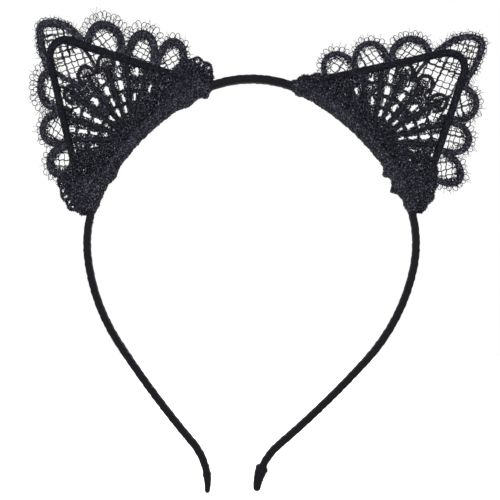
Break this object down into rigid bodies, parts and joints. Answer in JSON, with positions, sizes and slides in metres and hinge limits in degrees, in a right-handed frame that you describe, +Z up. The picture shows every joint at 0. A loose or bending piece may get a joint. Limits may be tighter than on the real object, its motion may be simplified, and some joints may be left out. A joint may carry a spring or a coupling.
{
  "type": "animal ears headband",
  "caption": "Slim sprung headband wound with dark satin ribbon, with pointed cat ears of scalloped lace on bendable wire frames sewn along its crown.",
  "frame": {"origin": "where the top of the head touches the inside of the crown, on the band's middle plane", "axes": "+Z up through the crown, +X towards the wearer's left as seen from the front, front facing -Y"},
  "size_m": [0.1773, 0.0084, 0.1843],
  "materials": {
    "spring_steel": "satin",
    "florist_wire": "satin",
    "satin_ribbon": "satin weave, dark charcoal",
    "net_lace": "fine knotted net, near black",
    "lace_cord": "satin-stitched cord, near black",
    "binding_thread": "close-wound thread, near black",
    "sewing_thread": "matt thread, near black"
  },
  "bodies": {
    "band_crown": {"crown_spring_strip": "spring_steel", "crown_ribbon": "satin_ribbon", "left_ear_base_wrap": "net_lace", "left_ear_stitches": "sewing_thread", "left_ear_upper_gather": "net_lace", "left_ear_lower_gather": "net_lace", "left_ear_wire_feet": "binding_thread", "right_ear_base_wrap": "net_lace", "right_ear_stitches": "sewing_thread", "right_ear_upper_gather": "net_lace", "right_ear_lower_gather": "net_lace", "right_ear_wire_feet": "binding_thread"},
    "left_arm": {"left_arm_spring_strip": "spring_steel", "left_arm_ribbon": "satin_ribbon", "left_tip_cap": "satin_ribbon"},
    "right_arm": {"right_arm_spring_strip": "spring_steel", "right_arm_ribbon": "satin_ribbon", "right_tip_cap": "satin_ribbon"},
    "left_ear": {"left_ear_wire": "florist_wire", "left_ear_wire_binding": "binding_thread", "left_ear_net": "net_lace", "left_ear_fan_ribs": "lace_cord", "left_ear_scallop_cords": "lace_cord", "left_ear_apex_loop": "lace_cord", "left_ear_picot_fringe": "lace_cord"},
    "right_ear": {"right_ear_wire": "florist_wire", "right_ear_wire_binding": "binding_thread", "right_ear_net": "net_lace", "right_ear_fan_ribs": "lace_cord", "right_ear_scallop_cords": "lace_cord", "right_ear_apex_loop": "lace_cord", "right_ear_picot_fringe": "lace_cord"}
  },
  "joints": [
    {"name": "left_arm_flex", "type": "hinge", "parent": "band_crown", "child": "left_arm", "pos_m": [-0.06327, 0, -0.06003], "axis": [0, 1, 0], "range_deg": [-3, 28], "stiffness_Nm_per_rad": 0.25},
    {"name": "right_arm_flex", "type": "hinge", "parent": "band_crown", "child": "right_arm", "pos_m": [0.06327, 0, -0.06003], "axis": [0, -1, 0], "range_deg": [-3, 28], "stiffness_Nm_per_rad": 0.25},
    {"name": "left_ear_tilt", "type": "hinge", "parent": "band_crown", "child": "left_ear", "pos_m": [-0.04878, 0, -0.01969], "axis": [0.6691, 0, 0.7431], "range_deg": [-30, 30]},
    {"name": "right_ear_tilt", "type": "hinge", "parent": "band_crown", "child": "right_ear", "pos_m": [0.04878, 0, -0.01969], "axis": [0.6691, 0, -0.7431], "range_deg": [-30, 30]}
  ]
}
